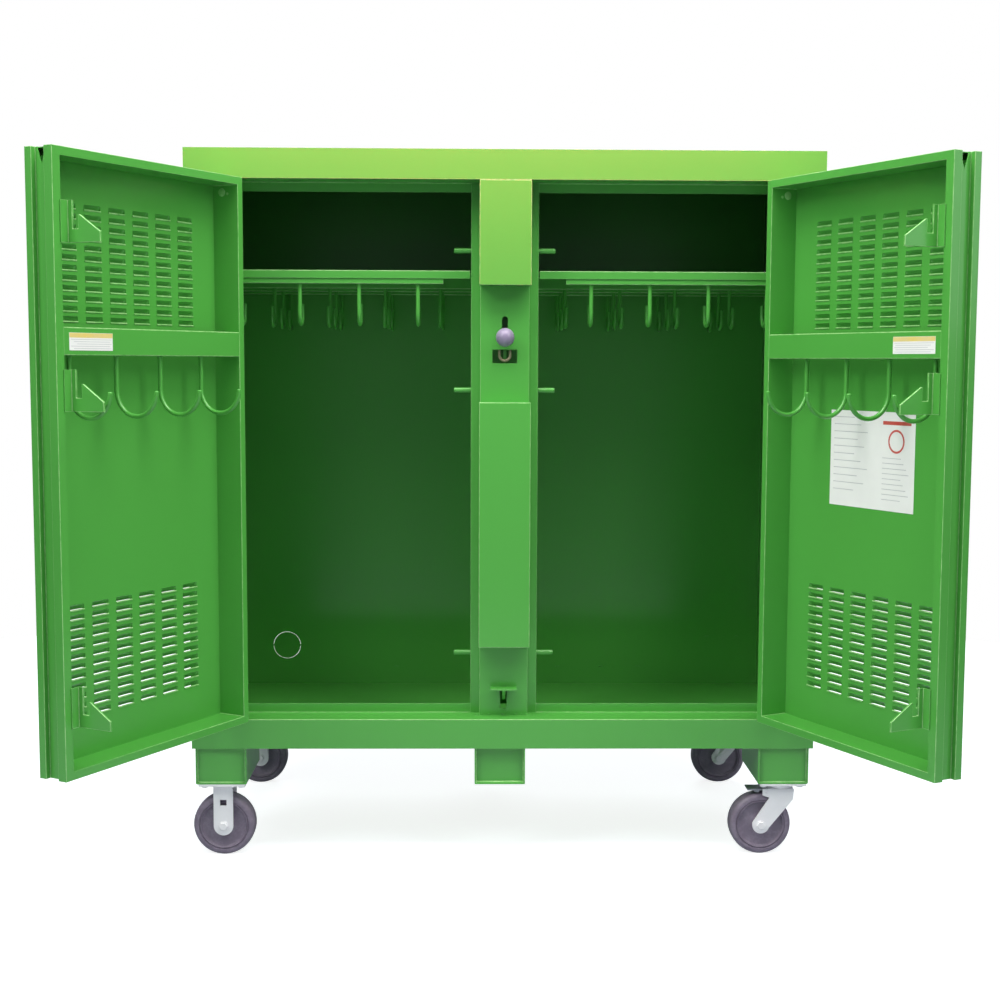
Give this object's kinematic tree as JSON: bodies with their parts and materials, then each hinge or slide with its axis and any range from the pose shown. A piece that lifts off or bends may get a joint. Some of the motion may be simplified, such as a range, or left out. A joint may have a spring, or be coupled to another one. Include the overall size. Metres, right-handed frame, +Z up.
{
  "type": "rolling storage cabinet",
  "caption": "Wide rolling steel storage cabinet with louvred double doors, a lockable centre post, overhead hook rails and shelves, on swivel and rigid casters.",
  "frame": {"origin": "middle of the footprint of the whole object with its doors open, on the floor", "axes": "+X to the right along the front, +Y from the front to the back of the body, +Z up"},
  "size_m": [1.9242, 1.3572, 1.721],
  "materials": {
    "green_powder_coat": "glossy green powder coat",
    "zinc_plate": "bright zinc plate",
    "bare_steel": "dull plated steel",
    "caster_wheel": "moulded grey wheel",
    "satin_knob": "satin grey ball",
    "brass": "worn brass",
    "printed_label": "laminated paper"
  },
  "bodies": {
    "cabinet": {"left_side_panel": "green_powder_coat", "right_side_panel": "green_powder_coat", "back_panel": "green_powder_coat", "roof_panel": "green_powder_coat", "floor_panel": "green_powder_coat", "header_beam": "green_powder_coat", "sill_beam": "green_powder_coat", "left_jamb": "green_powder_coat", "right_jamb": "green_powder_coat", "center_post": "green_powder_coat", "post_upper_cover": "green_powder_coat", "post_lower_cover": "green_powder_coat", "left_shelf": "green_powder_coat", "right_shelf": "green_powder_coat", "hook_rails": "green_powder_coat", "shelf_hooks": "green_powder_coat", "front_feet": "green_powder_coat", "rear_feet": "green_powder_coat", "frame_hinge_leaves": "green_powder_coat", "hinge_pins": "green_powder_coat", "lock_bar_guides": "green_powder_coat", "padlock_box": "green_powder_coat", "padlock_staple": "brass", "pedal_pivot_pin": "green_powder_coat", "rigid_caster_forks": "zinc_plate", "rigid_caster_axles": "bare_steel", "swivel_plates": "zinc_plate", "caster_bolts": "zinc_plate"},
    "left_door": {"left_door_skin": "green_powder_coat", "left_door_rim": "green_powder_coat", "left_door_mid_rail": "green_powder_coat", "left_door_hooks": "green_powder_coat", "left_door_catches": "green_powder_coat", "left_door_hinge_leaves": "green_powder_coat", "left_door_rail_label": "printed_label"},
    "right_door": {"right_door_skin": "green_powder_coat", "right_door_rim": "green_powder_coat", "right_door_mid_rail": "green_powder_coat", "right_door_hooks": "green_powder_coat", "right_door_catches": "green_powder_coat", "right_door_hinge_leaves": "green_powder_coat", "right_door_rail_label": "printed_label", "right_door_document_sheet": "printed_label"},
    "lock_bar": {"lock_bar": "green_powder_coat", "lock_knob": "satin_knob", "lock_cross_pins": "green_powder_coat"},
    "foot_pedal": {"foot_pedal": "green_powder_coat"},
    "front_rigid_wheel": {"front_rigid_wheel": "caster_wheel"},
    "rear_rigid_wheel": {"rear_rigid_wheel": "caster_wheel"},
    "front_swivel": {"front_swivel_fork": "zinc_plate", "front_swivel_axle": "bare_steel"},
    "front_swivel_wheel": {"front_swivel_wheel": "caster_wheel"},
    "front_brake_pedal": {"front_brake_pedal": "bare_steel"},
    "rear_swivel": {"rear_swivel_fork": "zinc_plate", "rear_swivel_axle": "bare_steel"},
    "rear_swivel_wheel": {"rear_swivel_wheel": "caster_wheel"},
    "rear_brake_pedal": {"rear_brake_pedal": "bare_steel"}
  },
  "joints": [
    {"name": "left_door_hinge", "type": "hinge", "parent": "cabinet", "child": "left_door", "pos_m": [-0.66961, -0.08543, 1], "axis": [0, 0, 1], "range_deg": [-51, 119]},
    {"name": "right_door_hinge", "type": "hinge", "parent": "cabinet", "child": "right_door", "pos_m": [0.69839, -0.08543, 1], "axis": [0, 0, -1], "range_deg": [-54, 116]},
    {"name": "pedal_hinge", "type": "hinge", "parent": "cabinet", "child": "foot_pedal", "pos_m": [0.01439, -0.00443, 0.415], "axis": [1, 0, 0], "range_deg": [0, 26]},
    {"name": "lock_slide", "type": "slide", "parent": "cabinet", "child": "lock_bar", "axis": [0, 0, 1], "range_m": [0, 0.0316]},
    {"name": "front_rigid_wheel_spin", "type": "hinge", "parent": "cabinet", "child": "front_rigid_wheel", "pos_m": [-0.67661, -0.02942, 0.0762], "axis": [0, 1, 0], "continuous": true},
    {"name": "front_caster_swivel", "type": "hinge", "parent": "cabinet", "child": "front_swivel", "pos_m": [0.70539, -0.02942, 0.16], "axis": [0, 0, 1], "continuous": true},
    {"name": "front_swivel_wheel_spin", "type": "hinge", "parent": "front_swivel", "child": "front_swivel_wheel", "pos_m": [0.65539, -0.02942, 0.0762], "axis": [0, 1, 0], "continuous": true},
    {"name": "front_brake_hinge", "type": "hinge", "parent": "front_swivel", "child": "front_brake_pedal", "pos_m": [0.66639, -0.02942, 0.16], "axis": [0, -1, 0], "range_deg": [0, 8]},
    {"name": "rear_rigid_wheel_spin", "type": "hinge", "parent": "cabinet", "child": "rear_rigid_wheel", "pos_m": [-0.67661, 0.62457, 0.0762], "axis": [0, 1, 0], "continuous": true},
    {"name": "rear_caster_swivel", "type": "hinge", "parent": "cabinet", "child": "rear_swivel", "pos_m": [0.70539, 0.62457, 0.16], "axis": [0, 0, 1], "continuous": true},
    {"name": "rear_swivel_wheel_spin", "type": "hinge", "parent": "rear_swivel", "child": "rear_swivel_wheel", "pos_m": [0.65539, 0.62457, 0.0762], "axis": [0, 1, 0], "continuous": true},
    {"name": "rear_brake_hinge", "type": "hinge", "parent": "rear_swivel", "child": "rear_brake_pedal", "pos_m": [0.66639, 0.62457, 0.16], "axis": [0, -1, 0], "range_deg": [0, 8]}
  ],
  "couplings": [
    {"joint": "lock_slide", "follows": "pedal_hinge", "m_per_rad": 0.0696}
  ]
}
